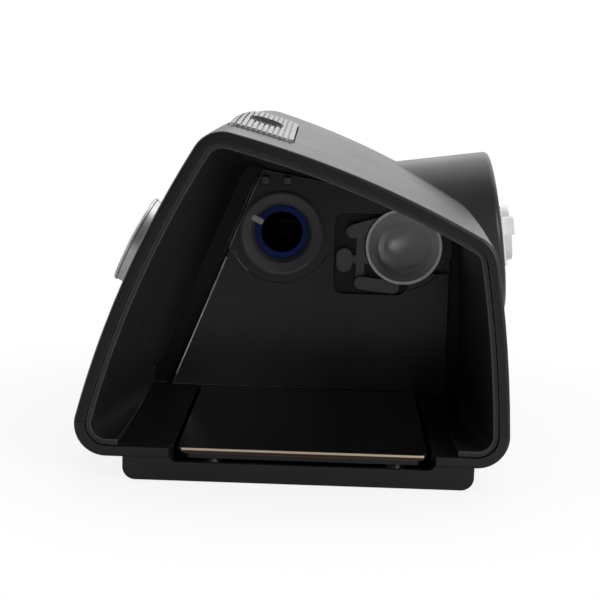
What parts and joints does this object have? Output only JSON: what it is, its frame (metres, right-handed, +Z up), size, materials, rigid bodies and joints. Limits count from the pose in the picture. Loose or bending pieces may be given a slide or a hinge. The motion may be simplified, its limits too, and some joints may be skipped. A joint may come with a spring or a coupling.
{
  "type": "cpap machine",
  "caption": "Desktop CPAP machine with its tub bay open at one end, a tilted hose connector at the back, a dial, a ribbed start/stop button and hinged covers.",
  "frame": {"origin": "bottom centre of the machine's box, on the surface that it stands on", "axes": "+X towards the open tub bay, +Y towards the rear with the hose connector, +Z up; the user stands at -Y"},
  "size_m": [0.19, 0.1494, 0.1126],
  "materials": {
    "base_plastic": "satin",
    "bay_gloss": "semi-gloss",
    "board_green": "solder mask",
    "button_white": "gloss",
    "cable_white": "flat cable",
    "chip_black": "moulded",
    "contact_brass": "plated",
    "copper_winding": "enamelled wire",
    "dial_chrome": "satin chrome",
    "dial_gloss": "gloss",
    "fascia_gloss": "gloss",
    "film_orange": "film",
    "filter_white": "pleated fibre",
    "foam_grey": "open-cell foam",
    "graphite_shell": "fine satin, faintly metallic",
    "heater_metal": "anodised",
    "inner_plastic": "moulded",
    "key_grey": "satin",
    "key_satin": "satin",
    "latch_black": "satin",
    "lcd_black": "display glass",
    "lens_clear": "clear window",
    "magnet_grey": "sintered",
    "port_ring_grey": "satin",
    "rotor_plastic": "moulded",
    "seal_blue": "silicone",
    "silicone_black": "silicone",
    "silicone_grey": "silicone",
    "smoke_clear": "smoky translucent plastic",
    "spring_steel": "wire",
    "steel": "bright",
    "white_plastic": "satin"
  },
  "bodies": {
    "housing": {"adapter_cover": "graphite_shell", "air_filter": "filter_white", "base_tray": "base_plastic", "bay_liner": "bay_gloss", "blower_feet": "silicone_grey", "blower_lower_case": "inner_plastic", "blower_port_ring": "port_ring_grey", "blower_port_seal": "seal_blue", "blower_upper_case": "inner_plastic", "board_screws": "steel", "button_switch": "silicone_grey", "clip_pin": "steel", "contact_pins": "contact_brass", "dial_encoder": "inner_plastic", "display_board": "board_green", "display_ribbon": "cable_white", "elbow_latch": "latch_black", "elbow_seal": "silicone_black", "feet": "silicone_black", "flow_sensor": "chip_black", "front_fascia": "fascia_gloss", "heater_springs": "spring_steel", "home_switch": "chip_black", "inlet_pin": "contact_brass", "lcd_module": "lcd_black", "light_sensor_window": "lens_clear", "main_board": "board_green", "main_board_parts": "chip_black", "motor_stator": "copper_winding", "muffler_box": "inner_plastic", "muffler_foam": "foam_grey", "outlet_boot": "silicone_black", "outlet_elbow": "smoke_clear", "outlet_shroud": "graphite_shell", "port_key": "key_grey", "port_wall": "bay_gloss", "power_inlet": "latch_black", "pressure_hose": "silicone_grey", "pressure_sensor": "chip_black", "screen_lens": "lens_clear", "sd_socket": "steel", "shaft_bearings": "steel", "tub_catches": "latch_black", "tube_contact_block": "white_plastic", "upper_housing": "graphite_shell"},
    "start_stop_button": {"start_stop_button": "key_satin"},
    "dial_shaft": {"dial_plunger": "inner_plastic"},
    "dial": {"dial_knob": "dial_gloss", "dial_ring": "dial_chrome"},
    "home_button": {"home_button": "button_white"},
    "filter_cover": {"filter_cover": "graphite_shell"},
    "sd_card_cover": {"sd_card_cover": "graphite_shell"},
    "sd_card": {"sd_card": "key_grey"},
    "retention_clip": {"retention_clip": "white_plastic"},
    "heater": {"heater_plate": "heater_metal", "heater_element": "film_orange", "heater_carrier": "inner_plastic"},
    "rotor": {"impeller": "rotor_plastic", "rotor_shaft": "steel", "rotor_magnet": "magnet_grey"}
  },
  "joints": [
    {"name": "start_stop_press", "type": "slide", "parent": "housing", "child": "start_stop_button", "axis": [-0.0408, -0.2664, -0.963], "range_m": [0, 0.0006], "stiffness_N_per_m": 900, "springref_m": -0.0006},
    {"name": "dial_press", "type": "slide", "parent": "housing", "child": "dial_shaft", "axis": [0.0124, 0.8983, -0.4391], "range_m": [0, 0.0007], "stiffness_N_per_m": 1500, "springref_m": -0.0006},
    {"name": "dial_turn", "type": "hinge", "parent": "dial_shaft", "child": "dial", "pos_m": [0.018, -0.05684, 0.064], "axis": [-0.0124, -0.8983, 0.4391], "continuous": true},
    {"name": "home_press", "type": "slide", "parent": "housing", "child": "home_button", "axis": [0.0018, 0.939, -0.3439], "range_m": [0, 0.0006], "stiffness_N_per_m": 900, "springref_m": -0.0005},
    {"name": "filter_cover_swing", "type": "hinge", "parent": "housing", "child": "filter_cover", "pos_m": [-0.087, 0.06193, 0.03], "axis": [-1, 0, 0], "range_deg": [0, 80]},
    {"name": "sd_cover_swing", "type": "hinge", "parent": "housing", "child": "sd_card_cover", "pos_m": [-0.09355, -0.043, 0.027], "axis": [0, -1, 0], "range_deg": [0, 85]},
    {"name": "sd_card_slide", "type": "slide", "parent": "housing", "child": "sd_card", "axis": [-1, 0, 0], "range_m": [0, 0.0018]},
    {"name": "retention_clip_swing", "type": "hinge", "parent": "housing", "child": "retention_clip", "pos_m": [-0.052, 0.06508, 0.0364], "axis": [1, 0, 0], "range_deg": [0, 100]},
    {"name": "heater_plate_sink", "type": "slide", "parent": "housing", "child": "heater", "axis": [0, 0, -1], "range_m": [0, 0.0012], "stiffness_N_per_m": 2600, "springref_m": -0.0012, "deforming": ["heater_springs"]},
    {"name": "impeller_spin", "type": "hinge", "parent": "housing", "child": "rotor", "pos_m": [-0.05, 0.0029, 0.0682], "axis": [0, 0, 1], "continuous": true}
  ]
}
